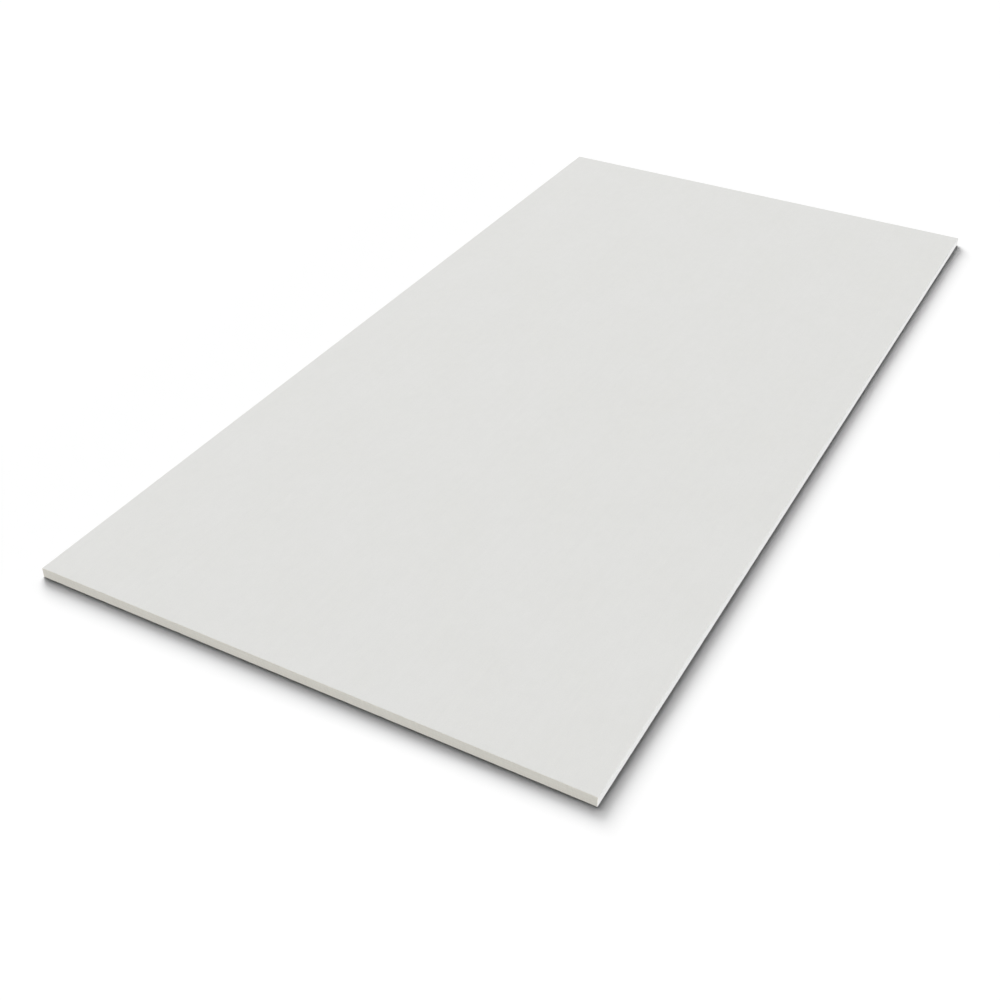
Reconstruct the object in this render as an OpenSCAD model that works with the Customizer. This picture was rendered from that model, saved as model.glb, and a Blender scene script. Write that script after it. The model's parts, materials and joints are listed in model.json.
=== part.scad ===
/* [Board] */
// Width of the board, along X
board_width = 1200; // [900:1:1500]
// Length of the board, along Y
board_length = 2400; // [1200:1:3600]
// Thickness of the board, along Z
board_thickness = 22; // [6:0.5:32]

/* [Edges] */
// Leg of the small flat that eases each arris round the two faces
face_arris = 1; // [0.2:0.1:2.5]
// Leg of the small flat that eases each upright arris at the four corners
corner_arris = 1.5; // [0.2:0.1:5]

/* [Hidden] */

// Colour of the raw board, a light neutral grey
board_colour = [0.88, 0.88, 0.87];

// Outline of a rectangle centred on the origin, with each corner cut off at
// 45 degrees. The leg is the length that the cut takes from each side.
function eased_rectangle(width, height, leg) =
    let (x = width / 2, y = height / 2)
    [
        [x - leg, -y], [x, -y + leg],
        [x, y - leg], [x - leg, y],
        [-x + leg, y], [-x, y - leg],
        [-x, -y + leg], [-x + leg, -y]
    ];

// The outline of the faces, carried up through the thickness. It eases the
// four upright arrises.
module face_prism() {
    linear_extrude(board_thickness, center = true)
        polygon(eased_rectangle(board_width, board_length, corner_arris));
}

// The section across the board, carried along its length. It eases the four
// long arrises.
module cross_prism() {
    rotate([90, 0, 0])
        linear_extrude(board_length, center = true)
            polygon(eased_rectangle(board_width, board_thickness, face_arris));
}

// The section along the board, carried across its width. It eases the four
// arrises at the ends.
module long_prism() {
    rotate([90, 0, 90])
        linear_extrude(board_width, center = true)
            polygon(eased_rectangle(board_length, board_thickness, face_arris));
}

// The whole sheet, pressed and trimmed as one piece. It lies on z = 0 with
// its smooth face up and its middle over the origin.
module board() {
    color(board_colour)
        translate([0, 0, board_thickness / 2])
            intersection() {
                face_prism();
                cross_prism();
                long_prism();
            }
}

board();
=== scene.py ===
"""Looks of a fibre cement sheet that lies on its back face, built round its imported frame.

The sheet is one closed mesh. Its rim is a section carried round the outline, and a regular grid closes each
face. Four finishes dress it: the smooth front, the felt-marked back, the long edges and the sawn ends.
Lengths are in metres, and those inside the materials are in millimetres.
"""

import json
import logging
import math
from dataclasses import dataclass, fields
from enum import Enum, IntEnum
from functools import reduce
from typing import ClassVar

import bpy
import numpy as np
from mathutils import Matrix, Vector


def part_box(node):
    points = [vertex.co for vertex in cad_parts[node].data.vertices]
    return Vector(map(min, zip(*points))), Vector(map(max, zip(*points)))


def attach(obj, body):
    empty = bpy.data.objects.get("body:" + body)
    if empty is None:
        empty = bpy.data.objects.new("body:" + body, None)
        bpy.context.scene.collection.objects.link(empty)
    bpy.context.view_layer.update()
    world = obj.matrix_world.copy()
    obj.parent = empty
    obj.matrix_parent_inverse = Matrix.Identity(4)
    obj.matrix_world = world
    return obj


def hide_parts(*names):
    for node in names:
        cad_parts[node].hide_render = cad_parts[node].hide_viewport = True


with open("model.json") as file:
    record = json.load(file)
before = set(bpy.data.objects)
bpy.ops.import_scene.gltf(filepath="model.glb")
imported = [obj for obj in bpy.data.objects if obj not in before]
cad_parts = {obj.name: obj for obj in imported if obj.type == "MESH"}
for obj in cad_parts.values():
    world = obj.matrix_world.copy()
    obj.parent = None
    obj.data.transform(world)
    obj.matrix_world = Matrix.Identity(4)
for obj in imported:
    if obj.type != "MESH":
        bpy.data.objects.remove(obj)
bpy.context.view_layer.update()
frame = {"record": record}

MM = 0.001
# A length too small to show.
SLIVER = 0.001 * MM
NODE = "board"
SLOT = "fibre_cement"
BODY = "root"
PIECE = "fibre_cement_sheet"
ARRIS = "arris"
# Name of the sheet's own UV map, whose layout BakeLayout sets.
UV_MAP = "OFBake"
# The strips of the rim along half the outline: one for the end and two for the long edge.
HALF_STRIPS = 3
# A Mix node's sockets for colours, whose names its other sockets share.
MIX_FIRST, MIX_SECOND, MIX_RESULT = 6, 7, 2
LOG = logging.getLogger("sheet")

Array = np.ndarray
Colour = tuple[float, float, float]
Socket = bpy.types.NodeSocket
Feed = Socket | float | tuple[float, ...]
Feeds = dict[str | int, Feed]


# ------------------------------------------------------------------ shape of the sheet


class Region(IntEnum):
    """The kinds of surface on the sheet, in the order of its material slots."""

    FRONT_FACE = 0
    BACK_FACE = 1
    LONG_EDGE = 2
    SAWN_END = 3


def blurred_noise(rng: np.random.Generator, shape: tuple[int, int], reach: tuple[float, float]) -> Array:
    """Makes smooth noise that closes on itself along both axes.

    The spectrum of white noise is multiplied by a bell, which blurs it by a bell of the given reach. The
    result is shifted and scaled to run from 0 to 1.

    Args:
        rng: Where the random numbers come from.
        shape: Rows and columns.
        reach: How far the blur reaches down and across, in cells.

    Returns:
        One value for each row and column.
    """
    down = np.fft.fftfreq(shape[0])[:, None] * reach[0]
    across = np.fft.rfftfreq(shape[1])[None, :] * reach[1]
    bell = np.exp(-2.0 * math.pi**2 * (down**2 + across**2))
    noise = np.fft.irfft2(np.fft.rfft2(rng.standard_normal(shape)) * bell, s=shape)
    return (noise - noise.min()) / np.ptp(noise)


def peaks(noise: Array, contrast: float) -> Array:
    """Keeps the peaks of a noise that runs from 0 to 1.

    How far each value falls short of 1 is multiplied by the contrast, and what then lies under 0 becomes 0.

    Args:
        noise: The noise.
        contrast: How many times steeper the peaks get.

    Returns:
        The peaks, from 0 to 1.
    """
    return np.clip(noise * contrast - (contrast - 1.0), 0.0, 1.0)


@dataclass(frozen=True)
class Outline:
    """Stations round the sheet, close together near its corners.

    They start at the near left corner and run anticlockwise, seen from above.
    """

    width: float
    length: float
    corner_radius: float
    across: int
    along: int
    dip: float = 0.88
    dip_reach: float = 12.0

    def places(self, side: float, count: int) -> Array:
        """Places the stations along one side.

        Each step is 1 less the dip times a bell that stands at either end of the side. The places are the
        running sum of the steps, scaled to the side and centred on zero.

        Args:
            side: Length of the side.
            count: Number of steps.

        Returns:
            The places, one more than the steps.
        """
        step = np.arange(count) + 0.5
        bells = np.exp(-((step / self.dip_reach) ** 2)) + np.exp(-(((count - step) / self.dip_reach) ** 2))
        sums = np.concatenate([[0.0], np.cumsum(1.0 - self.dip * bells)])
        return (sums / sums[-1] - 0.5) * side

    def square(self) -> Array:
        """Draws the outline with square corners and from -1 to 1 each way.

        Returns:
            The stations, as stations by 2.
        """
        near = np.column_stack([self.places(2.0, self.across)[:-1], np.full(self.across, -1.0)])
        right = np.column_stack([np.full(self.along, 1.0), self.places(2.0, self.along)[:-1]])
        return np.concatenate([near, right, -near, -right])

    def strips(self) -> Array:
        """Numbers the strip of the rim on which each station lies: one for an end, two for a long edge."""
        half = self.along // 2
        return np.repeat(np.arange(2 * HALF_STRIPS), [self.across, half, half] * 2)

    def starts(self) -> Array:
        """Measures how far along its strip each station lies.

        Returns:
            The distance of each station from the start of its strip.
        """
        across = self.places(self.width, self.across)[:-1] + self.width / 2
        along = self.places(self.length, self.along)[:-1] + self.length / 2
        along[self.along // 2 :] -= self.length / 2
        return np.concatenate([across, along, across, along])

    def steps(self) -> Array:
        """Measures the gaps between the stations.

        Returns:
            The distance from each station to the next.
        """
        across = np.diff(self.places(self.width, self.across))
        along = np.diff(self.places(self.length, self.along))
        return np.concatenate([across, along, across, along])

    def rings(self, insets: Array, radii: Array) -> tuple[Array, Array]:
        """Draws the outline several times, each drawn in by an inset and rounded at its corners.

        The square outline is scaled to the rectangle that the inset leaves. A core rectangle is smaller
        again by the corner radius. A station lies one radius out from the nearest point of the core, towards
        its place on the square outline.

        Args:
            insets: How far each ring lies in from the outline.
            radii: Radius that each ring's corners have.

        Returns:
            The stations and their outward directions, as rings by stations by 2.
        """
        half = np.array([self.width, self.length]) / 2 - insets[:, None, None]
        radius = np.maximum(radii, SLIVER)[:, None, None]
        scaled = self.square() * half
        core = np.clip(scaled, radius - half, half - radius)
        outward = (scaled - core) / np.linalg.norm(scaled - core, axis=2, keepdims=True)
        return core + radius * outward, outward


@dataclass(frozen=True)
class Section:
    """Section of the rim, from the back face round the edge to the front face.

    Each arris is a quarter circle with a straight edge between the two. On both faces the section runs in
    over a few rings, and the innermost come first and last.
    """

    thickness: float
    arris_radius: float
    face_insets: tuple[float, ...]
    arris_steps: int = 5
    edge_steps: int = 7

    def quarter(self) -> Array:
        """Gives the angles of the rows on one arris, from 0 to 90 degrees."""
        return np.linspace(0.0, math.pi / 2, self.arris_steps + 1)

    def tilts(self) -> Array:
        """Gives the tilt of the surface at each row: -90 degrees faces down, 0 outwards and 90 up."""
        faces, edge = np.full(len(self.face_insets), math.pi / 2), np.zeros(self.edge_steps - 1)
        return np.concatenate([-faces, self.quarter() - math.pi / 2, edge, self.quarter(), faces])

    def insets(self) -> Array:
        """Works out how far in from the outline each row lies.

        On an arris that is the radius times 1 less the cosine of the tilt.

        Returns:
            The insets.
        """
        faces = len(self.face_insets)
        insets = self.arris_radius * (1.0 - np.cos(self.tilts()))
        insets[:faces] = self.face_insets[::-1]
        insets[-faces:] = self.face_insets
        return insets

    def heights(self) -> Array:
        """Works out how far over the back face each row lies.

        The lower arris starts at the back and falls short of its radius by the radius times the cosine of
        its angle. The upper one rises over the straight edge by the radius times the sine.

        Returns:
            The heights.
        """
        low, high = self.arris_radius, self.thickness - self.arris_radius
        faces = np.zeros(len(self.face_insets))
        bottom = low - self.arris_radius * np.cos(self.quarter())
        edge = np.linspace(low, high, self.edge_steps + 1)[1:-1]
        top = high + self.arris_radius * np.sin(self.quarter())
        return np.concatenate([faces, bottom, edge, top, faces + self.thickness])

    def runs(self) -> Array:
        """Measures the distance along the section to each row.

        Returns:
            The running sum of the moves from row to row, which is 0 where the lower arris meets the back.
        """
        moves = np.hypot(np.diff(self.insets()), np.diff(self.heights()))
        runs = np.concatenate([[0.0], np.cumsum(moves)])
        return runs - runs[len(self.face_insets)]

    def nearness(self, reach: float) -> Array:
        """Works out how near each row is to the crown of an arris.

        Args:
            reach: Distance along the section over which the bell falls to 1/e.

        Returns:
            1 at a crown, falling as a bell to 0.
        """
        runs, faces = self.runs(), len(self.face_insets)
        crowns = runs[[faces, -1 - faces]] + self.arris_radius * math.pi / 4 * np.array([1.0, -1.0])
        gaps = np.abs(runs[:, None] - crowns).min(axis=1)
        return np.exp(-((gaps / reach) ** 2))


@dataclass(frozen=True)
class Relief:
    """How far the real surfaces fall short of the ideal ones. Every depth is inward, so the box holds.

    The blurs are in stations along the rim and in rows across it. A kerf mark leans by one station every few
    rows.
    """

    seed: int = 7
    front_seed: int = 1
    back_seed: int = 2
    wander: float = 0.10 * MM
    wander_blur: float = 45.0
    kerf: float = 0.09 * MM
    kerf_blur: float = 1.1
    kerf_fade: tuple[float, float] = (3.0, 20.0)
    rows_per_lean: int = 2
    pits: float = 0.12 * MM
    pit_blur: tuple[float, float] = (0.7, 0.7)
    pit_contrast: float = 2.6
    crumbs: float = 0.45 * MM
    crumb_blur: float = 1.4
    crumb_contrast: float = 2.5
    crumb_reach: float = 1.1 * MM
    rim_fade: float = 2.0
    face_dip: float = 0.10 * MM
    face_waves: int = 24
    wave_lengths: tuple[float, float] = (0.16, 0.9)

    def rim(self, outline: Outline, section: Section) -> Array:
        """Works out the depth of the sawn rim.

        The depth is the sum of four parts: a long wander of the cut, upright kerf marks that lean with the
        height, pits at the peaks of a noise, and crumbs along the two arrises. All fade where the stations
        stand closer together, so that no slope is steeper at the corners. They also fade with the cosine of
        the tilt, so that the faces keep none.

        Args:
            outline: The stations.
            section: The rows.

        Returns:
            One depth for each row and station.
        """
        rng = np.random.default_rng(self.seed)
        tilts, stations = section.tilts(), 2 * (outline.across + outline.along)
        line, shape = (1, stations), (len(tilts), stations)
        lean = (np.arange(stations) + np.arange(len(tilts))[:, None] // self.rows_per_lean) % stations
        wander = blurred_noise(rng, line, (0.0, self.wander_blur))
        marks = blurred_noise(rng, line, (0.0, self.kerf_blur))[0]
        kerf = marks[lean] * blurred_noise(rng, shape, self.kerf_fade)
        pits = peaks(blurred_noise(rng, shape, self.pit_blur), self.pit_contrast)
        crumbs = peaks(blurred_noise(rng, line, (0.0, self.crumb_blur)), self.crumb_contrast)
        crumbs = crumbs * section.nearness(self.crumb_reach)[:, None]
        depth = self.wander * wander + self.kerf * kerf + self.pits * pits + self.crumbs * crumbs
        spacing = outline.steps() / outline.steps().max()
        on_rim = np.minimum(1.0, self.rim_fade * np.cos(tilts))
        return depth * spacing * on_rim[:, None]

    def dip(self, places: Array, seed: int) -> Array:
        """Works out how far a face falls short of its plane.

        The dip is a sum of cosine waves of random direction, phase and length, shifted and scaled to run
        from 0 to the deepest dip at most.

        Args:
            places: Points whose last axis starts with x and y.
            seed: Sets the waves of one face.

        Returns:
            One depth for each point.
        """
        rng = np.random.default_rng(self.seed + seed)
        heading = rng.uniform(0.0, 2.0 * math.pi, self.face_waves)
        lengths = rng.uniform(*self.wave_lengths, self.face_waves)
        phase = rng.uniform(0.0, 2.0 * math.pi, self.face_waves)
        turn = 2.0 * math.pi / lengths * np.array([np.cos(heading), np.sin(heading)])
        height = (np.cos(places[..., :2] @ turn + phase) * lengths).sum(axis=-1) / lengths.sum()
        return self.face_dip * (0.5 + 0.5 * height)

    def settle(self, points: Array, thickness: float) -> Array:
        """Lowers the front and raises the back by their dips, shared out linearly through the thickness.

        Args:
            points: Points of the ideal sheet, with x, y and z on the last axis.
            thickness: Thickness of the sheet.

        Returns:
            The points after the move.
        """
        share = points[..., 2] / thickness
        lift = self.dip(points, self.back_seed) * (1.0 - share) - self.dip(points, self.front_seed) * share
        return points + lift[..., None] * np.array([0.0, 0.0, 1.0])


@dataclass(frozen=True)
class BakeLayout:
    """Where each surface lies on the sheet's own UV map, inside the unit square.

    The front and the back stand side by side. The rim is cut into six strips. The first three lie over the
    faces and the others stand upright beside them.
    """

    width: float
    length: float
    rim_run: float
    margin: float = 0.006
    face_width: float = 0.44
    strip_width: float = 0.027
    strip_scale: float = 2.0

    def face(self, places: Array, region: Region) -> Array:
        """Lays out a face.

        The map is the plan of the face at one scale, seen from outside, so the back is mirrored in x.

        Args:
            places: Points whose last axis starts with x and y.
            region: The front or the back face.

        Returns:
            The UV of each point.
        """
        scale = self.face_width / self.width
        facing = 1.0 if region is Region.FRONT_FACE else -1.0
        column = self.margin if region is Region.FRONT_FACE else 2 * self.margin + self.face_width
        u = column + (places[..., 0] * facing + self.width / 2) * scale
        v = self.margin + (places[..., 1] + self.length / 2) * scale
        return np.stack([u, v], axis=-1)

    def rim(self, strip: Array, start: Array, run: Array) -> Array:
        """Lays out the rim, strip by strip.

        The long way of a strip has a larger scale than the faces, and its short way is the run of the
        section. An upright strip is a lying one turned a quarter.

        Args:
            strip: Number of the strip, as Outline.strips gives it.
            start: Distance from the start of the strip.
            run: Distance along the section.

        Returns:
            The UV of each point.
        """
        scale = self.face_width / self.width
        along = self.margin + start * scale * self.strip_scale
        lane = strip % HALF_STRIPS * (self.strip_width + self.margin)
        over = lane + 2 * self.margin + self.length * scale
        beside = lane + 3 * self.margin + self.face_width * 2
        rise = run / self.rim_run * self.strip_width
        lying = np.stack([along, over + rise], axis=-1)
        upright = np.stack([beside + self.strip_width - rise, along], axis=-1)
        return np.where((strip < HALF_STRIPS)[..., None], lying, upright)


def in_scene(name: str, data: bpy.types.ID) -> bpy.types.Object:
    """Makes an object at the origin and links it to the scene.

    Args:
        name: Name of the object.
        data: Its mesh, lamp or camera.

    Returns:
        The object.
    """
    made = bpy.data.objects.new(name, data)
    bpy.context.scene.collection.objects.link(made)
    return made


class Patchwork:
    """Points and faces of one mesh, gathered patch by patch as whole arrays."""

    def __init__(self) -> None:
        """Starts with nothing."""
        self.points: list[Array] = []
        self.nearness: list[Array] = []
        self.faces: list[tuple[Array, Array, Array]] = []

    def add_points(self, points: Array, nearness: Array | float = 0.0) -> Array:
        """Adds points.

        Args:
            points: The points, with x, y and z on the last axis.
            nearness: How near each is to an arris, from 0 to 1.

        Returns:
            Their numbers, in the same arrangement.
        """
        first = sum(len(each) for each in self.points)
        shape = points.shape[:-1]
        self.points.append(points.reshape(-1, 3))
        self.nearness.append(np.broadcast_to(nearness, shape).ravel())
        return first + np.arange(math.prod(shape)).reshape(shape)

    def add_faces(self, corners: Array, uv: Array, region: Array | int, outward: bool = True) -> None:
        """Adds faces that have the same number of corners.

        Args:
            corners: Numbers of the points, with the corners of a face on the last axis.
            uv: UV of each corner.
            region: Region of each face, or one for all.
            outward: False where the corners are listed the wrong way round.
        """
        order = slice(None) if outward else slice(None, None, -1)
        turned = corners[..., order].reshape(-1, corners.shape[-1])
        regions = np.broadcast_to(region, corners.shape[:-1]).ravel()
        self.faces.append((turned, uv[..., order, :].reshape(-1, 2), regions))

    def triangles(self) -> int:
        """Counts the triangles that the faces come to."""
        return sum(len(corners) * (corners.shape[1] - 2) for corners, _, _ in self.faces)

    def mesh(self, name: str) -> bpy.types.Mesh:
        """Makes the mesh, with its UV map, its regions and its arris attribute.

        Args:
            name: Name of the mesh.

        Returns:
            The mesh.
        """
        mesh = bpy.data.meshes.new(name)
        points = np.concatenate(self.points)
        mesh.vertices.add(len(points))
        mesh.vertices.foreach_set("co", points.astype(np.float32).ravel())
        loops = np.concatenate([corners.ravel() for corners, _, _ in self.faces])
        mesh.loops.add(len(loops))
        mesh.loops.foreach_set("vertex_index", loops.astype(np.int32))
        sizes = np.concatenate([np.full(len(corners), corners.shape[1]) for corners, _, _ in self.faces])
        mesh.polygons.add(len(sizes))
        mesh.polygons.foreach_set("loop_start", (np.cumsum(sizes) - sizes).astype(np.int32))
        regions = np.concatenate([region for _, _, region in self.faces])
        mesh.polygons.foreach_set("material_index", regions.astype(np.int32))
        mesh.update(calc_edges=True)
        mesh.shade_smooth()
        uv = np.concatenate([places for _, places, _ in self.faces])
        mesh.uv_layers.new(name=UV_MAP).uv.foreach_set("vector", uv.astype(np.float32).ravel())
        nearness = np.concatenate(self.nearness)
        attribute = mesh.attributes.new(ARRIS, "FLOAT", "POINT")
        attribute.data.foreach_set("value", nearness.astype(np.float32))
        return mesh


@dataclass(frozen=True)
class Sheet:
    """The fibre cement sheet: sizes from its box, and the methods that build and dress it."""

    low: Vector
    high: Vector
    arris_radius: float = 1.0 * MM
    corner_radius: float = 1.5 * MM
    cells_across: int = 48
    cells_along: int = 96
    rim_insets: tuple[float, ...] = (2.6 * MM, 4.0 * MM)
    face_insets: tuple[float, ...] = (8.0 * MM, 14.0 * MM, 24.0 * MM)
    wear_reach: float = 2.2 * MM
    relief: Relief = Relief()

    @property
    def width(self) -> float:
        """Size along X."""
        return self.high.x - self.low.x

    @property
    def length(self) -> float:
        """Size along Y."""
        return self.high.y - self.low.y

    @property
    def thickness(self) -> float:
        """Size along Z."""
        return self.high.z - self.low.z

    def outline(self) -> Outline:
        """Draws the finest ring. Each ring further in has half the stations of the one before.

        Returns:
            The outline.
        """
        fold = 2 ** len(self.face_insets)
        across, along = fold * self.cells_across, fold * self.cells_along
        return Outline(self.width, self.length, self.corner_radius, across, along)

    def section(self) -> Section:
        """Gives the section of the rim."""
        return Section(self.thickness, self.arris_radius, self.rim_insets)

    def layout(self) -> BakeLayout:
        """Gives the places on the UV map."""
        run = self.section().runs()[-1 - len(self.rim_insets)]
        return BakeLayout(self.width, self.length, run)

    def rim_points(self) -> Array:
        """Works out the points of the rim, as rows by stations by 3.

        Each row of the section is a ring drawn in by the row's inset. A point is then moved into the sheet,
        square to the surface, by the depth of the relief.

        Returns:
            The points.
        """
        outline, section = self.outline(), self.section()
        insets, tilts = section.insets(), section.tilts()
        on_face = insets > self.arris_radius + SLIVER
        radii = np.where(on_face, 0.0, self.corner_radius - insets)
        plan, outward = outline.rings(insets, radii)
        heights = np.broadcast_to(section.heights()[:, None, None], plan.shape[:2] + (1,))
        surface = np.concatenate([plan, heights], axis=2)
        flat = outward * np.cos(tilts)[:, None, None]
        up = np.broadcast_to(np.sin(tilts)[:, None, None], heights.shape)
        depth = self.relief.rim(outline, section)
        return surface - depth[..., None] * np.concatenate([flat, up], axis=2)

    def add_rim(self, patchwork: Patchwork) -> Array:
        """Adds the rim as quads between neighbouring rows and stations.

        Args:
            patchwork: Takes the points and faces.

        Returns:
            The numbers of the rim's points, as rows by stations.
        """
        outline, section, layout = self.outline(), self.section(), self.layout()
        nearness = section.nearness(self.wear_reach)[:, None]
        points = self.relief.settle(self.rim_points(), self.thickness)
        numbers = patchwork.add_points(points, nearness)
        following = np.roll(numbers, -1, axis=1)
        corners = np.stack([numbers[:-1], following[:-1], following[1:], numbers[1:]], axis=-1)
        strip = outline.strips()
        # The second and third corners of a quad lie one step further along.
        start = outline.starts()[:, None] + outline.steps()[:, None] * np.array([0.0, 1.0, 1.0, 0.0])
        runs = section.runs()
        run = np.stack([runs[:-1], runs[:-1], runs[1:], runs[1:]], axis=-1)[:, None, :]
        uv = layout.rim(*np.broadcast_arrays(strip[:, None], start, run))
        region = np.where(strip % HALF_STRIPS == 0, Region.SAWN_END, Region.LONG_EDGE)
        faces = len(self.rim_insets)
        patchwork.add_faces(corners[faces:-faces], uv[faces:-faces], region)
        flat = points.reshape(-1, 3)
        for part, face in ((corners[:faces], Region.BACK_FACE), (corners[-faces:], Region.FRONT_FACE)):
            patchwork.add_faces(part, layout.face(flat[part - numbers[0, 0]], face), face)
        return numbers

    def add_face(self, patchwork: Patchwork, ring: Array, region: Region) -> None:
        """Closes a face inside the rim.

        Each ring drawn further in has every second station of the one before. Three triangles join two
        stations of the outer ring to one of the inner. A regular grid fills the last ring.

        Args:
            patchwork: Takes the points and faces.
            ring: Numbers of the outer ring's points.
            region: The face.
        """
        height = self.thickness if region is Region.FRONT_FACE else 0.0
        insets = np.array(self.face_insets)
        plans, _ = self.outline().rings(insets, np.zeros(len(insets)))
        for level, plan in enumerate(plans):
            plan = plan[:: 2 ** (level + 1)]
            inner = patchwork.add_points(self.on_face(plan, height))
            start, middle = ring[0::2], ring[1::2]
            after, beyond = np.roll(start, -1), np.roll(inner, -1)
            for corners in ((start, middle, inner), (middle, beyond, inner), (middle, after, beyond)):
                self.add_flat(patchwork, np.stack(corners, axis=-1), region)
            ring = inner
        self.add_grid(patchwork, ring, plans[-1][:: 2 ** len(insets)], height, region)

    def on_face(self, plan: Array, height: float) -> Array:
        """Lifts points of the plan to a face, and settles them on its relief."""
        heights = np.full(plan.shape[:-1] + (1,), height)
        return self.relief.settle(np.concatenate([plan, heights], axis=-1), self.thickness)

    def add_flat(self, patchwork: Patchwork, corners: Array, region: Region) -> None:
        """Adds faces that lie in the front or the back.

        Args:
            patchwork: Takes the faces.
            corners: Numbers of their points, anticlockwise from above.
            region: The front or the back face.
        """
        places = np.concatenate(patchwork.points)[corners]
        uv = self.layout().face(places, region)
        patchwork.add_faces(corners, uv, region, outward=region is Region.FRONT_FACE)

    def add_grid(
        self, patchwork: Patchwork, ring: Array, plan: Array, height: float, region: Region
    ) -> None:
        """Fills the last ring with a grid whose lines run between facing stations.

        Args:
            patchwork: Takes the points and faces.
            ring: Numbers of the ring's points, anticlockwise from the near left corner.
            plan: Their places, x and y.
            height: Height of the face.
            region: The face.
        """
        across, along = self.cells_across, self.cells_along
        grid = np.empty((across + 1, along + 1), dtype=int)
        grid[:, 0] = ring[: across + 1]
        grid[across, :] = ring[across : across + along + 1]
        grid[::-1, along] = ring[across + along : 2 * across + along + 1]
        grid[0, :0:-1] = ring[2 * across + along :]
        x, y = plan[1:across, 0], plan[across + 1 : across + along, 1]
        inside = np.stack(np.meshgrid(x, y, indexing="ij"), axis=-1)
        grid[1:-1, 1:-1] = patchwork.add_points(self.on_face(inside, height))
        corners = np.stack([grid[:-1, :-1], grid[1:, :-1], grid[1:, 1:], grid[:-1, 1:]], axis=-1)
        self.add_flat(patchwork, corners, region)

    def build(self) -> bpy.types.Object:
        """Builds the sheet as one closed mesh.

        Returns:
            The piece.
        """
        patchwork = Patchwork()
        rim = self.add_rim(patchwork)
        self.add_face(patchwork, rim[-1], Region.FRONT_FACE)
        self.add_face(patchwork, rim[0], Region.BACK_FACE)
        piece = in_scene(PIECE, patchwork.mesh(PIECE))
        LOG.info("%s: %d triangles", piece.name, patchwork.triangles())
        return piece

    def dress(self, piece: bpy.types.Object, materials: list[bpy.types.Material]) -> None:
        """Gives the piece its materials.

        Args:
            piece: The piece.
            materials: One for each region, in the regions' order.
        """
        for region, material in zip(Region, materials, strict=True):
            piece.data.materials.append(material)
            LOG.info("%s: %s", region.name.lower(), material.name)


# ------------------------------------------------------------------ effects that the finishes share


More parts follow.
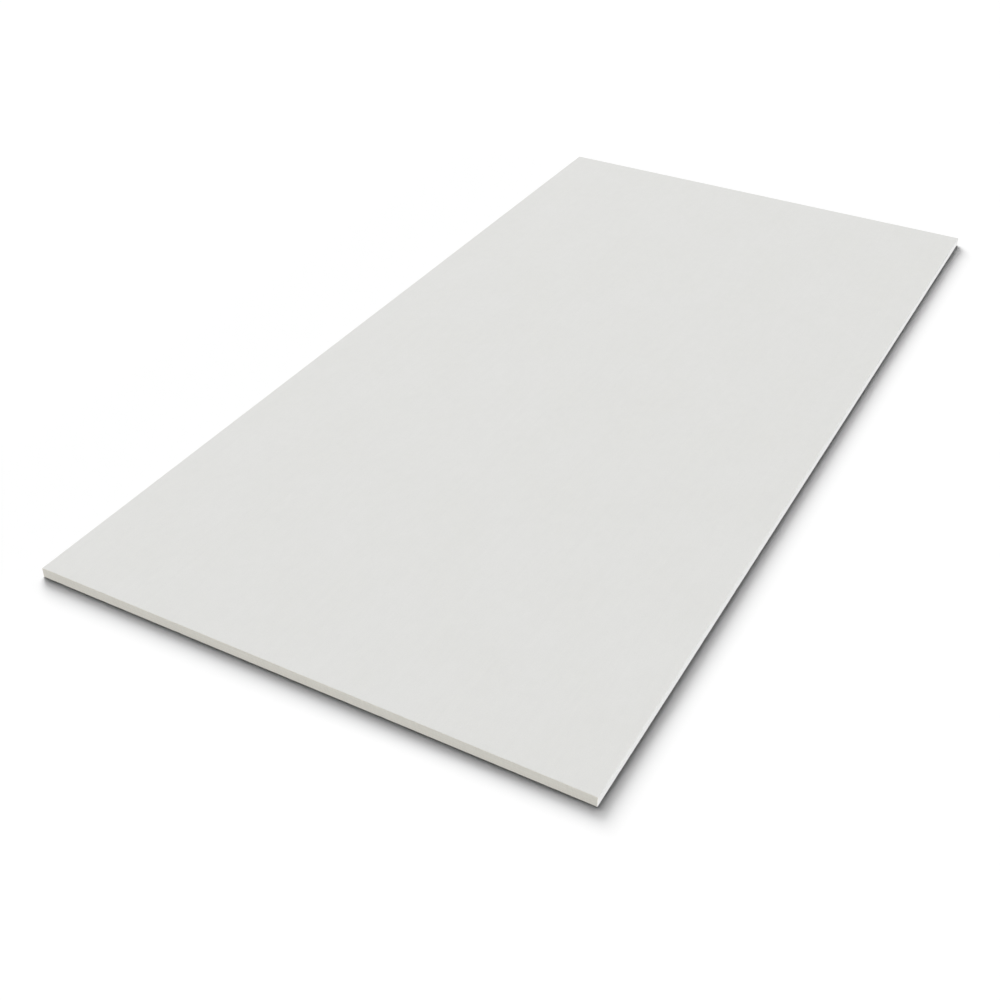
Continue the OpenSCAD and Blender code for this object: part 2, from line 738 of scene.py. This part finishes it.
class Graph:
    """A node tree, with short calls for the nodes and links that the finishes use."""

    def __init__(self, tree: bpy.types.NodeTree) -> None:
        """Keeps the tree."""
        self.tree = tree

    def add(self, kind: str, feeds: Feeds | None = None, **settings: object) -> bpy.types.Node:
        """Adds a node.

        Args:
            kind: The node's type.
            feeds: What goes into its inputs, by name or number.
            settings: Its properties.

        Returns:
            The node.
        """
        node = self.tree.nodes.new(kind)
        for name, value in settings.items():
            setattr(node, name, value)
        for name, value in (feeds or {}).items():
            self.feed(node.inputs[name], value)
        return node

    def feed(self, socket: Socket, value: Feed) -> None:
        """Links an output to a socket, or sets the socket to a plain value.

        Args:
            socket: An input of a node.
            value: The output or the plain value.
        """
        if isinstance(value, bpy.types.NodeSocket):
            self.tree.links.new(value, socket)
        else:
            socket.default_value = value

    def number(self, operation: str, *values: Feed) -> Socket:
        """Works out a number from one, two or three others."""
        return self.add("ShaderNodeMath", dict(enumerate(values)), operation=operation).outputs["Value"]

    def product(self, *values: Feed) -> Socket:
        """Multiplies two or more numbers, one after another."""
        return reduce(lambda made, value: self.number("MULTIPLY", made, value), values)

    def vector(self, operation: str, *values: Feed) -> Socket:
        """Works out a vector from one or two others."""
        node = self.add("ShaderNodeVectorMath", dict(enumerate(values)), operation=operation)
        return node.outputs["Vector"]

    def scaled(self, vector: Feed, share: Feed) -> Socket:
        """Multiplies a vector or colour by a number."""
        feeds = {"Vector": vector, "Scale": share}
        return self.add("ShaderNodeVectorMath", feeds, operation="SCALE").outputs["Vector"]

    def summed(self, start: float, masks: list[Socket], shares: list[float]) -> Feed:
        """Adds a share of each mask to a plain number.

        Args:
            start: The plain number.
            masks: The masks.
            shares: How much of each is added. A mask whose share is zero is left out.

        Returns:
            The sum.
        """
        result: Feed = start
        for mask, share in zip(masks, shares, strict=True):
            if share != 0.0:
                result = self.number("MULTIPLY_ADD", mask, share, result)
        return result

    def parts(self, vector: Socket) -> tuple[Socket, Socket, Socket]:
        """Splits a vector into x, y and z."""
        return tuple(self.add("ShaderNodeSeparateXYZ", {"Vector": vector}).outputs)

    def joined(self, x: Feed, y: Feed, z: Feed = 0.0) -> Socket:
        """Joins x, y and z to a vector."""
        return self.add("ShaderNodeCombineXYZ", {"X": x, "Y": y, "Z": z}).outputs["Vector"]

    def ramp(self, value: Feed, low: Feed, high: Feed) -> Socket:
        """Rises smoothly from 0 to 1.

        Args:
            value: What is followed.
            low: The value at which the result is 0.
            high: The value at which it is 1, which may be under the low one.

        Returns:
            The result.
        """
        feeds = {"Value": value, "From Min": low, "From Max": high}
        node = self.add("ShaderNodeMapRange", feeds, interpolation_type="SMOOTHSTEP")
        return node.outputs["Result"]

    def cells(self, vector: Feed, spacing: Feed) -> tuple[bpy.types.NodeOutputs, bpy.types.NodeOutputs]:
        """Divides a plane into cells of random shape.

        Args:
            vector: The place.
            spacing: How far apart the cells' middles are.

        Returns:
            The pattern's outputs, with the distance to the cell's middle in spacings and the middle's
            position, and three random numbers for each cell.
        """
        feeds = {"Vector": vector, "Scale": self.number("DIVIDE", 1.0, spacing)}
        cell = self.add("ShaderNodeTexVoronoi", feeds, voronoi_dimensions="2D").outputs
        return cell, self.add("ShaderNodeSeparateColor", {"Color": cell["Color"]}).outputs

    def blend(self, share: Feed, first: Feed, second: Feed) -> Socket:
        """Mixes two colours.

        Args:
            share: 0 for the first colour, 1 for the second.
            first: The first colour.
            second: The second colour.

        Returns:
            The colour between them.
        """
        feeds = {"Factor": share, MIX_FIRST: first, MIX_SECOND: second}
        return self.add("ShaderNodeMix", feeds, data_type="RGBA").outputs[MIX_RESULT]


def cleared(owner: bpy.types.Material | bpy.types.World) -> Graph:
    """Clears the nodes of a material or a world.

    Args:
        owner: The material or the world.

    Returns:
        Its graph.
    """
    owner.use_nodes = True
    owner.node_tree.nodes.clear()
    return Graph(owner.node_tree)


@dataclass(frozen=True)
class Effect:
    """A shader node group. Its inputs are the place, called Vector, and one for each field of the class.

    The group is built once, at its first use, and an effect places it with its own values.
    """

    title: ClassVar[str] = ""
    output: ClassVar[str] = "Mask"
    vectors: ClassVar[tuple[str, ...]] = ()

    def wire(self, graph: Graph, given: dict[str, Socket]) -> Socket:
        """Wires the group.

        Args:
            graph: The group's own graph.
            given: Its inputs by name.

        Returns:
            What the group puts out.
        """
        raise NotImplementedError

    def group(self) -> bpy.types.NodeTree:
        """Builds the group at its first use.

        Returns:
            The group.
        """
        known = bpy.data.node_groups.get(self.title)
        if known is not None:
            return known
        tree = bpy.data.node_groups.new(self.title, "ShaderNodeTree")
        names = ["vector", *(field.name for field in fields(self))]
        for name in names:
            kind = "NodeSocketVector" if name in ("vector", *self.vectors) else "NodeSocketFloat"
            tree.interface.new_socket(name.capitalize(), in_out="INPUT", socket_type=kind)
        tree.interface.new_socket(self.output, in_out="OUTPUT", socket_type="NodeSocketFloat")
        graph = Graph(tree)
        given = graph.add("NodeGroupInput").outputs
        made = self.wire(graph, {name.capitalize(): given[name.capitalize()] for name in names})
        graph.add("NodeGroupOutput", {self.output: made})
        return tree

    def place(self, graph: Graph, vector: Feed) -> Socket:
        """Places the group in a graph.

        Args:
            graph: The graph of a material or of another group.
            vector: The place, in millimetres.

        Returns:
            The group's output.
        """
        feeds = {"Vector": vector}
        feeds.update((field.name.capitalize(), getattr(self, field.name)) for field in fields(self))
        return graph.add("ShaderNodeGroup", feeds, node_tree=self.group()).outputs[self.output]


@dataclass(frozen=True)
class Clouding(Effect):
    """Soft patches that may be long, flat or round: noise whose grain has its own size along each axis.

    The tone is 0 on average and mostly lies between -1 and 1.
    """

    size: Feed
    detail: Feed = 0.0
    title = "Clouding"
    output = "Tone"
    vectors = ("size",)
    contrast: ClassVar[float] = 4.0
    fall: ClassVar[float] = 0.55

    def wire(self, graph: Graph, given: dict[str, Socket]) -> Socket:
        """Divides the place by the grain's size, and centres the noise there on zero.

        Args:
            graph: The group's own graph.
            given: Its inputs by name.

        Returns:
            The tone.
        """
        place = graph.vector("DIVIDE", given["Vector"], given["Size"])
        feeds = {"Vector": place, "Scale": 1.0, "Detail": given["Detail"], "Roughness": self.fall}
        noise = graph.add("ShaderNodeTexNoise", feeds).outputs["Fac"]
        return graph.product(graph.number("SUBTRACT", noise, 0.5), self.contrast)


@dataclass(frozen=True)
class Fibres(Effect):
    """Short cellulose fibres that lie flat in the surface, each at its own angle and a little bent.

    A flat cell pattern gives each fibre a middle and three random numbers. The first turns it, the second
    says whether the cell holds a fibre at all, and the third bends it. The mask is 1 on the fibre and fades
    at its sides and tips.
    """

    spacing: Feed
    length: Feed
    width: Feed
    share: Feed
    title = "Fibres"
    bend: ClassVar[float] = 0.1
    core: ClassVar[float] = 0.3
    trunk: ClassVar[float] = 0.6

    def wire(self, graph: Graph, given: dict[str, Socket]) -> Socket:
        """Turns the place round the cell's middle, and masks a short bent stroke there.

        Args:
            graph: The group's own graph.
            given: Its inputs by name. The length and the width are half the fibre's.

        Returns:
            The mask.
        """
        cell, random = graph.cells(given["Vector"], given["Spacing"])
        local = graph.vector("SUBTRACT", given["Vector"], cell["Position"])
        feeds = {"Vector": local, "Angle": graph.product(random[0], math.pi)}
        turned = graph.add("ShaderNodeVectorRotate", feeds, rotation_type="Z_AXIS").outputs["Vector"]
        along, across, _ = graph.parts(turned)
        lean = graph.product(graph.number("SUBTRACT", random[2], 0.5), self.bend)
        bow = graph.product(along, along, lean)
        across = graph.number("ABSOLUTE", graph.number("SUBTRACT", across, bow))
        along = graph.number("ABSOLUTE", along)
        side = graph.ramp(across, given["Width"], graph.product(given["Width"], self.core))
        tip = graph.ramp(along, given["Length"], graph.product(given["Length"], self.trunk))
        held = graph.number("LESS_THAN", random[1], given["Share"])
        return graph.product(side, tip, held)


@dataclass(frozen=True)
class Pits(Effect):
    """Pin holes in loose clusters: in a share of the cells of a flat pattern, a spot at the cell's middle.

    The share rises and falls with a soft noise some cells across. The radius is a random part of the
    largest one, squared so that most holes are small.
    """

    spacing: Feed
    radius: Feed
    share: Feed
    title = "Pits"
    cluster: ClassVar[float] = 4.0
    smallest: ClassVar[float] = 0.2
    floor: ClassVar[float] = 0.3

    def wire(self, graph: Graph, given: dict[str, Socket]) -> Socket:
        """Masks the places nearer to a cell's middle than the cell's own radius.

        Args:
            graph: The group's own graph.
            given: Its inputs by name.

        Returns:
            The mask.
        """
        cell, random = graph.cells(given["Vector"], given["Spacing"])
        gap = graph.product(cell["Distance"], given["Spacing"])
        squared = graph.product(random[2], random[2])
        part = graph.number("MULTIPLY_ADD", squared, 1.0 - self.smallest, self.smallest)
        radius = graph.product(given["Radius"], part)
        spot = graph.ramp(gap, radius, graph.product(radius, self.floor))
        reach = graph.product(given["Spacing"], self.cluster)
        soft = Clouding(graph.joined(reach, reach, reach)).place(graph, cell["Position"])
        share = graph.product(given["Share"], graph.number("ADD", soft, 1.0))
        return graph.product(spot, graph.number("LESS_THAN", random[1], share))


@dataclass(frozen=True)
class Felt(Effect):
    """Print of the press cloth: two sets of short threads that cross, broken up so that none repeat."""

    pitch: Feed
    title = "Felt"
    output = "Height"
    stretch: ClassVar[float] = 4.0

    def wire(self, graph: Graph, given: dict[str, Socket]) -> Socket:
        """Takes noise stretched along x and noise stretched along y, and keeps the higher of the two.

        Args:
            graph: The group's own graph.
            given: Its inputs by name.

        Returns:
            The height.
        """
        pitch = given["Pitch"]
        long = graph.product(pitch, self.stretch)
        warp = Clouding(graph.joined(pitch, long, long)).place(graph, given["Vector"])
        weft = Clouding(graph.joined(long, pitch, long)).place(graph, given["Vector"])
        return graph.number("MAXIMUM", warp, weft)


@dataclass(frozen=True)
class ArrisWear(Effect):
    """Handling wear on the arrises, broken into patches. It reads the sheet's arris attribute."""

    patch: Feed
    amount: Feed
    title = "Arris wear"
    patch_detail: ClassVar[float] = 3.0

    def wire(self, graph: Graph, given: dict[str, Socket]) -> Socket:
        """Multiplies the nearness to an arris by patches of noise.

        Args:
            graph: The group's own graph.
            given: Its inputs by name.

        Returns:
            The mask.
        """
        near = graph.add("ShaderNodeAttribute", attribute_name=ARRIS).outputs["Fac"]
        patch = graph.joined(given["Patch"], given["Patch"], given["Patch"])
        tone = Clouding(patch, self.patch_detail).place(graph, given["Vector"])
        share = graph.ramp(tone, graph.product(given["Amount"], -1.0), 1.0)
        return graph.product(near, share)


# ------------------------------------------------------------------ finishes


class View(Enum):
    """How a pattern is laid on the sheet."""

    PLAN = "seen from above"
    SIDE = "seen from the side, with x along the edge and y up it"
    LEANING = "as SIDE, with its uprights leaning"


@dataclass(frozen=True)
class Layer:
    """One effect on a finish, and what it adds where its mask or tone is 1.

    The tone is a share of the colour and the height is in millimetres. A layer without a view of its own
    takes that of its finish.
    """

    effect: Effect
    tone: float = 0.0
    roughness: float = 0.0
    height: float = 0.0
    view: View | None = None


@dataclass(frozen=True)
class Finish:
    """Matt cement: two colours that drift into each other, under layers of finer pattern.

    The along axis is the horizontal one that an edge follows: 0 for x and 1 for y.
    """

    name: str
    colour: Colour
    other_colour: Colour
    drift: Clouding
    layers: tuple[Layer, ...]
    roughness: float
    specular: float = 0.03
    view: View = View.PLAN
    along: int = 0
    lean: float = 0.25

    def build(self) -> bpy.types.Material:
        """Builds the material: the colour, roughness and height that the layers add up to feed one shader.

        Returns:
            The material.
        """
        material = bpy.data.materials.new(self.name)
        material.diffuse_color = (*self.colour, 1.0)
        graph = cleared(material)
        views = self.views(graph)
        masks = [each.effect.place(graph, views[each.view or self.view]) for each in self.layers]
        drift = graph.ramp(self.drift.place(graph, views[self.view]), -1.0, 1.0)
        mixed = graph.blend(drift, (*self.colour, 1.0), (*self.other_colour, 1.0))
        tone = graph.summed(1.0, masks, [each.tone for each in self.layers])
        height = graph.summed(0.0, masks, [each.height for each in self.layers])
        bump = graph.add("ShaderNodeBump", {"Strength": 1.0, "Distance": MM, "Height": height})
        feeds = {
            "Base Color": graph.scaled(mixed, tone),
            "Roughness": graph.summed(self.roughness, masks, [each.roughness for each in self.layers]),
            "Normal": bump.outputs["Normal"],
            "Specular IOR Level": self.specular,
        }
        shader = graph.add("ShaderNodeBsdfPrincipled", feeds)
        graph.add("ShaderNodeOutputMaterial", {"Surface": shader.outputs["BSDF"]})
        return material

    def views(self, graph: Graph) -> dict[View, Socket]:
        """Works out the place in each view, in millimetres.

        Args:
            graph: The material's graph.

        Returns:
            The places by view.
        """
        plan = graph.scaled(graph.add("ShaderNodeTexCoord").outputs["Object"], 1.0 / MM)
        if self.view is View.PLAN:
            return {View.PLAN: plan}
        parts = graph.parts(plan)
        along, across, up = parts[self.along], parts[1 - self.along], parts[2]
        leaning = graph.number("MULTIPLY_ADD", up, self.lean, along)
        return {
            View.PLAN: plan,
            View.SIDE: graph.joined(along, up, across),
            View.LEANING: graph.joined(leaning, up, across),
        }


def face_layers(
    cloud: float, streak: float, grain: float, grain_height: float, felt: float
) -> tuple[Layer, ...]:
    """Lists the patterns of a pressed face, from the largest to the smallest.

    They are clouds, faint streaks along the sheet, print of the press cloth, worn arrises, short fibres,
    pin holes darkened with painted shade, and grain.

    Args:
        cloud: Tone of the clouds.
        streak: Tone of the streaks.
        grain: Tone of the grain.
        grain_height: Height of the grain.
        felt: Height of the cloth's print.

    Returns:
        The layers.
    """
    return (
        Layer(Clouding((16.0, 26.0, 16.0), detail=4.0), tone=cloud, roughness=0.04, height=0.01),
        Layer(Clouding((3.5, 420.0, 60.0), detail=2.0), tone=streak, roughness=0.03),
        Layer(Felt(pitch=1.6), height=felt),
        Layer(ArrisWear(patch=9.0, amount=0.4), tone=0.03, roughness=0.08),
        Layer(Fibres(3.6, length=1.7, width=0.12, share=0.8), tone=0.07, roughness=-0.06, height=0.02),
        # Pin holes: dents, and a darker tone that is painted shade inside them.
        Layer(Pits(7.0, radius=0.45, share=0.3), tone=-0.28, height=-0.12),
        Layer(Clouding((0.8, 1.0, 0.8), detail=3.0), tone=grain, height=grain_height),
    )


def cut_layers() -> tuple[Layer, ...]:
    """Lists the patterns of a cut edge, from the largest to the smallest.

    They are mottling, the thin layers that the sheet was rolled up from, the marks of the saw, worn
    arrises, fibres, pores darkened with painted shade, and grain.

    Returns:
        The layers.
    """
    return (
        Layer(Clouding((15.0, 11.0, 15.0), detail=3.0), tone=0.013, roughness=0.04),
        Layer(Clouding((160.0, 1.3, 160.0), detail=3.0), tone=0.05, roughness=0.03, height=0.09),
        Layer(Clouding((2.4, 45.0, 30.0), detail=2.0), tone=0.03, height=0.05, view=View.LEANING),
        Layer(ArrisWear(patch=6.0, amount=0.5), tone=0.05, view=View.PLAN),
        Layer(Fibres(2.6, length=1.2, width=0.11, share=0.7), tone=0.07, roughness=-0.05, height=0.04),
        # Pores: dents, and a darker tone that is painted shade inside them.
        Layer(Pits(3.2, radius=0.45, share=0.35), tone=-0.22, roughness=0.05, height=-0.25),
        Layer(Clouding((0.8, 0.6, 0.8), detail=3.0), tone=0.05, height=0.03),
    )


def finishes(base: Colour) -> dict[Region, Finish]:
    """Chooses the finish of each region.

    Args:
        base: Colour of the record's slot.

    Returns:
        The finishes by region.
    """
    def shade(red: float, green: float, blue: float) -> Colour:
        """Multiplies the slot's colour, channel by channel."""
        return (base[0] * red, base[1] * green, base[2] * blue)

    face_drift = Clouding((140.0, 190.0, 140.0), detail=3.0)
    cut_drift = Clouding((60.0, 30.0, 60.0), detail=2.0)
    front = face_layers(cloud=0.010, streak=0.006, grain=0.03, grain_height=0.012, felt=0.01)
    back = face_layers(cloud=0.030, streak=0.012, grain=0.05, grain_height=0.030, felt=0.05)
    return {
        Region.FRONT_FACE: Finish(
            "smooth_front", shade(1.0, 1.0, 1.0), shade(0.99, 0.99, 0.985), face_drift, front,
            roughness=0.78,
        ),
        Region.BACK_FACE: Finish(
            "felt_marked_back", shade(0.95, 0.945, 0.93), shade(0.90, 0.895, 0.88), face_drift, back,
            roughness=0.86,
        ),
        Region.LONG_EDGE: Finish(
            "trimmed_edge", shade(1.0, 1.0, 1.008), shade(0.985, 0.985, 0.993), cut_drift, cut_layers(),
            roughness=0.84, view=View.SIDE, along=1,
        ),
        Region.SAWN_END: Finish(
            "sawn_end", shade(0.987, 0.966, 0.903), shade(0.973, 0.95, 0.885), cut_drift, cut_layers(),
            roughness=0.86, view=View.SIDE,
        ),
    }


# ------------------------------------------------------------------ studio


@dataclass(frozen=True)
class Lamp:
    """A distant light, softer the wider its spread. Its angles are in degrees, with azimuth 0 towards -Y."""

    name: str
    azimuth: float
    elevation: float
    spread: float
    level: float

    def hang(self) -> None:
        """Adds the lamp. At level 1 a white surface that faces a small lamp renders white."""
        data = bpy.data.lights.new(self.name, "SUN")
        data.energy = self.level * math.pi
        data.angle = math.radians(self.spread)
        # The floor's own rays pass the sheet, and would carry a wide lamp's light into the shadow.
        data.cycles.use_multiple_importance_sampling = False
        lamp = in_scene(self.name, data)
        lamp.rotation_mode = "QUATERNION"
        lamp.rotation_quaternion = heading(self.azimuth, self.elevation).to_track_quat("Z", "Y")


def heading(azimuth: float, elevation: float) -> Vector:
    """Gives the direction to a point seen from the middle, with azimuth 0 towards -Y and 90 towards +X."""
    turn, rise = math.radians(azimuth), math.radians(elevation)
    return Vector((math.sin(turn) * math.cos(rise), -math.cos(turn) * math.cos(rise), math.sin(rise)))


@dataclass(frozen=True)
class Studio:
    """Pale floor, white surroundings, two keys, two fills and the camera.

    The keys stand beyond the far left corner. They light the front face and throw the shadow to the near
    right. The fills lie almost level, so they light the near end and the right edge and hardly the floor.
    """

    sheet: Sheet
    floor_size: float = 60.0
    floor_gap: float = 0.2 * MM
    floor_tone: float = 0.2
    floor_gain: float = 1.05
    ambient: float = 0.01
    lamps: tuple[Lamp, ...] = (
        Lamp("low_key", azimuth=225.0, elevation=25.0, spread=30.0, level=0.69),
        Lamp("high_key", azimuth=225.0, elevation=45.0, spread=70.0, level=0.887),
        Lamp("right_fill", azimuth=96.0, elevation=2.0, spread=3.0, level=1.04),
        Lamp("front_fill", azimuth=-6.0, elevation=2.0, spread=3.0, level=0.72),
    )
    azimuth: float = 28.63
    elevation: float = 36.04
    aim: tuple[float, float] = (0.0403, -0.2381)
    distance: float = 2.8958
    roll: float = 0.581
    lens: float = 49.78
    shift: float = 0.012

    @staticmethod
    def shown_background(graph: Graph) -> Socket:
        """Tells apart the rays that show the background: those of the camera, of gloss and of glass.

        Args:
            graph: The graph of the floor's material or of the world.

        Returns:
            1 for such a ray and 0 for any other.
        """
        path = graph.add("ShaderNodeLightPath").outputs
        seen = graph.number("MAXIMUM", path["Is Camera Ray"], path["Is Glossy Ray"])
        return graph.number("MAXIMUM", seen, path["Is Transmission Ray"])

    def lay_floor(self) -> None:
        """Lays the floor a hair under the sheet. Seen directly it is white, and it keeps the shadow."""
        half = self.floor_size / 2
        level = self.sheet.low.z - self.floor_gap
        corners = [(-half, -half, level), (half, -half, level), (half, half, level), (-half, half, level)]
        mesh = bpy.data.meshes.new("floor")
        mesh.from_pydata(corners, [], [(0, 1, 2, 3)])
        in_scene("floor", mesh)
        material = bpy.data.materials.new("pale_floor")
        graph = cleared(material)
        gain, tone = self.floor_gain, self.floor_tone
        colour = graph.blend(self.shown_background(graph), (tone, tone, tone, 1.0), (gain, gain, gain, 1.0))
        shader = graph.add("ShaderNodeBsdfDiffuse", {"Color": colour})
        graph.add("ShaderNodeOutputMaterial", {"Surface": shader.outputs["BSDF"]})
        mesh.materials.append(material)

    def surround(self) -> None:
        """Sets the world: white where it shows as background, and a weak even light elsewhere."""
        world = bpy.data.worlds.new("studio")
        bpy.context.scene.world = world
        graph = cleared(world)
        shown = self.shown_background(graph)
        strength = graph.number("MULTIPLY_ADD", shown, 1.0 - self.ambient, self.ambient)
        shader = graph.add("ShaderNodeBackground", {"Color": (1.0, 1.0, 1.0, 1.0), "Strength": strength})
        graph.add("ShaderNodeOutputWorld", {"Surface": shader.outputs["Background"]})

    def set_camera(self) -> None:
        """Stands the camera over the near end, aimed at a point on the front face."""
        data = bpy.data.cameras.new("camera")
        data.lens = self.lens
        data.shift_x = self.shift
        middle = (self.sheet.low + self.sheet.high) / 2
        across, along = self.aim[0] * self.sheet.width, self.aim[1] * self.sheet.length
        target = Vector((middle.x + across, middle.y + along, self.sheet.high.z))
        back = heading(self.azimuth, self.elevation)
        turn = back.to_track_quat("Z", "Y").to_matrix() @ Matrix.Rotation(math.radians(self.roll), 3, "Z")
        camera = in_scene("camera", data)
        camera.matrix_world = Matrix.Translation(target + back * self.distance) @ turn.to_4x4()
        bpy.context.scene.camera = camera

    def build(self) -> None:
        """Builds the whole studio."""
        self.lay_floor()
        self.surround()
        for lamp in self.lamps:
            lamp.hang()
        self.set_camera()
        bpy.context.scene.view_settings.view_transform = "Standard"


def main() -> None:
    """Builds the sheet, dresses it and sets up the studio."""
    logging.basicConfig(level=logging.INFO, format="%(name)s: %(message)s")
    sheet = Sheet(*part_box(NODE))
    base = next(each["base_color"] for each in frame["record"]["materials"] if each["slot"] == SLOT)
    piece = sheet.build()
    sheet.dress(piece, [finish.build() for _, finish in sorted(finishes(tuple(base)).items())])
    # Light that the edges throw down would fill the shadow at their foot, so the floor doesn't gather it.
    piece.visible_diffuse = False
    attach(piece, BODY)
    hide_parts(NODE)
    Studio(sheet).build()


if __name__ == "__main__":
    main()
